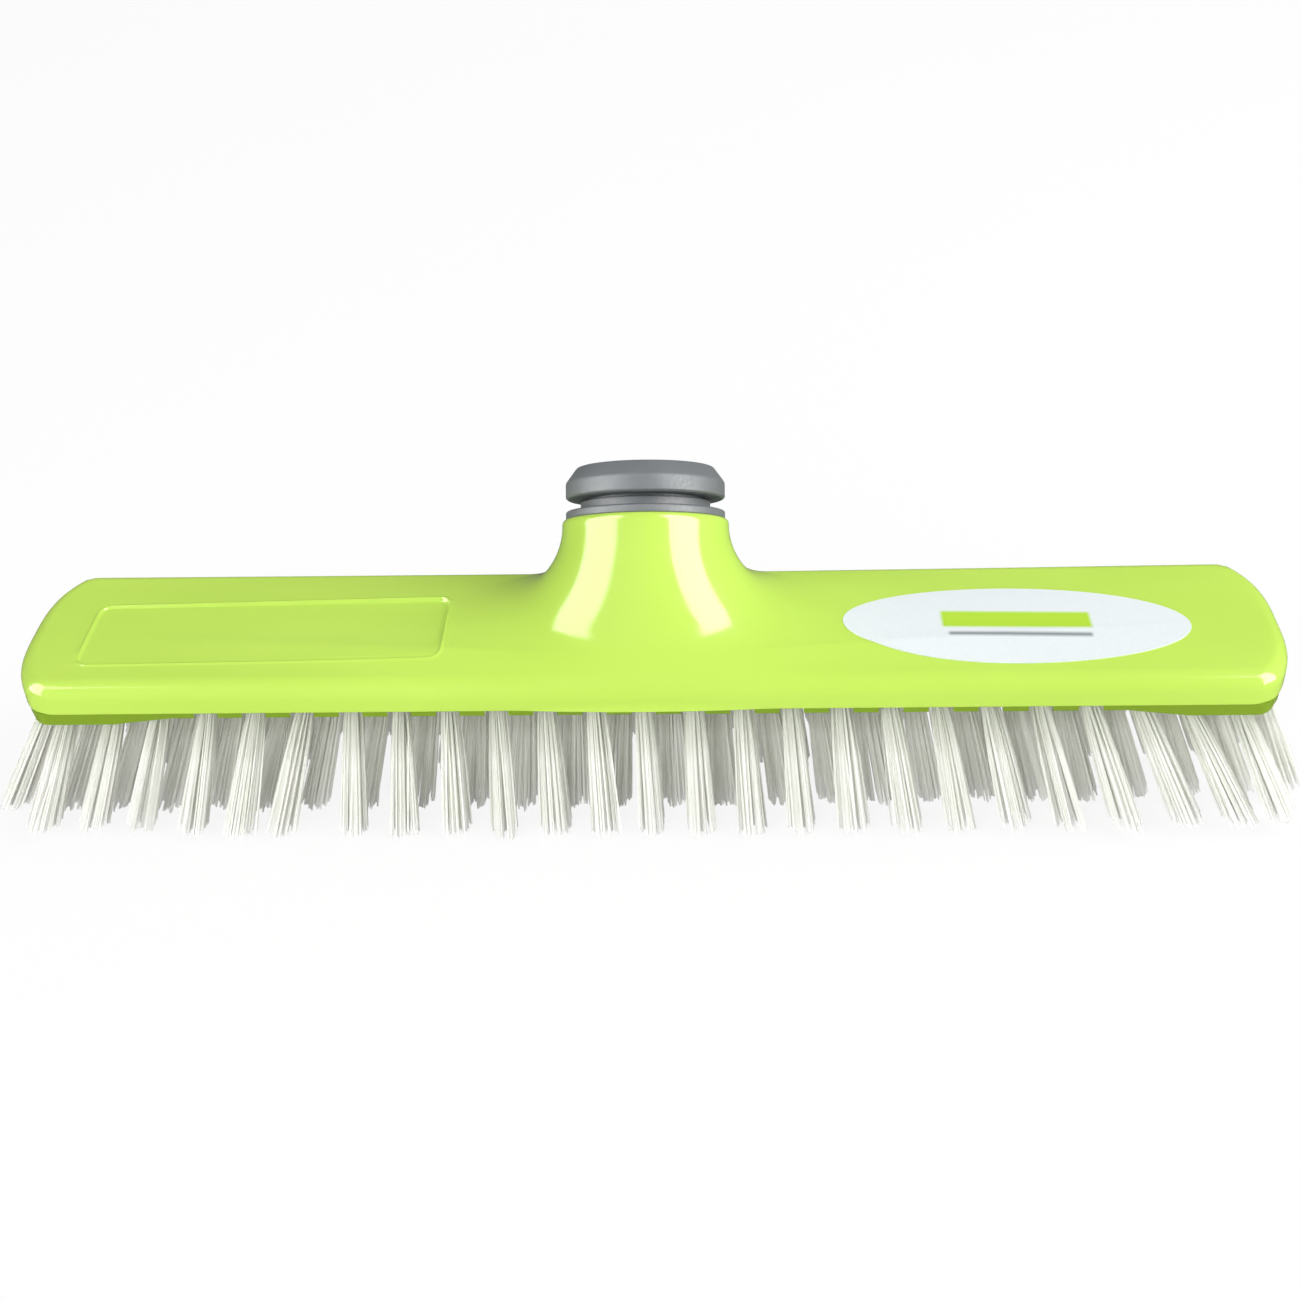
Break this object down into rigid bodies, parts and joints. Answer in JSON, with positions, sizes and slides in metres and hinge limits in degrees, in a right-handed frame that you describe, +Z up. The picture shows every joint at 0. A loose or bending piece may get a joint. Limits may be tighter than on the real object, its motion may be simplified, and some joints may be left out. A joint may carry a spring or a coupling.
{
  "type": "scrubbing brush head",
  "caption": "Long floor scrubbing brush head with a glossy lime cover, a tilted flared neck with a grey handle socket, and fanned rows of stiff white bristle tufts.",
  "frame": {"origin": "on the floor plane that the tuft tips stand on, at the tip of the middle row's centre tuft", "axes": "+X along the block, to the right as the label side reads; +Y to the rear, the way the neck leans; +Z up, away from the floor"},
  "size_m": [0.3232, 0.0692, 0.0805],
  "materials": {
    "lime_plastic": "glossy injection-moulded polypropylene, lime green",
    "olive_plastic": "moulded polypropylene in the same green, in shade",
    "grey_plastic": "satin mid-grey plastic",
    "label_paper": "coated oval paper sticker, no print",
    "bristle_plastic": "stiff white translucent plastic filaments",
    "anchor_steel": "flat tufting wire",
    "screw_steel": "zinc-plated steel"
  },
  "bodies": {
    "root": {"cover": "lime_plastic", "tuft_plate": "olive_plastic", "socket_insert": "grey_plastic", "label": "label_paper", "front_tufts": "bristle_plastic", "front_inner_tufts": "bristle_plastic", "middle_tufts": "bristle_plastic", "rear_inner_tufts": "bristle_plastic", "rear_tufts": "bristle_plastic", "front_anchors": "anchor_steel", "front_inner_anchors": "anchor_steel", "middle_anchors": "anchor_steel", "rear_inner_anchors": "anchor_steel", "rear_anchors": "anchor_steel", "plate_screws": "screw_steel"}
  },
  "joints": []
}
